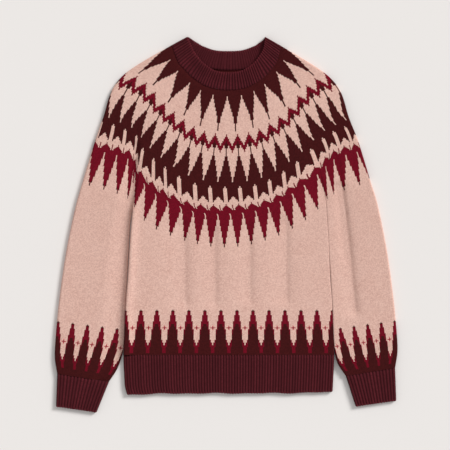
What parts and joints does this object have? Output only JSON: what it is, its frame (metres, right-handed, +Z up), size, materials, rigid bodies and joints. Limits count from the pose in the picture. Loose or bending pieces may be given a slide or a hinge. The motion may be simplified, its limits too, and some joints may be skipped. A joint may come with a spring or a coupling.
{
  "type": "fair isle jumper",
  "caption": "Round-yoke knitted jumper laid flat, with long sleeves, ribbed neckband, hem and cuffs and patterned yoke, hem and sleeve ends.",
  "frame": {"origin": "on the surface the jumper rests on, under the middle of its outline", "axes": "+X to the viewer's right, +Y from the hem to the neck, +Z up out of the front of the jumper"},
  "size_m": [0.5824, 0.638, 0.0076],
  "materials": {
    "plain_knit": "soft heathered peach wool knit with a faint nap",
    "pattern_knit": "stranded wool knit in maroon, crimson and peach",
    "rib": "wine wool in one by one rib"
  },
  "bodies": {
    "root": {"neckband": "rib", "yoke": "pattern_knit", "front": "plain_knit", "back": "plain_knit", "hem_rib": "rib", "left_sleeve": "plain_knit", "left_cuff": "rib", "right_sleeve": "plain_knit", "right_cuff": "rib"}
  },
  "joints": []
}
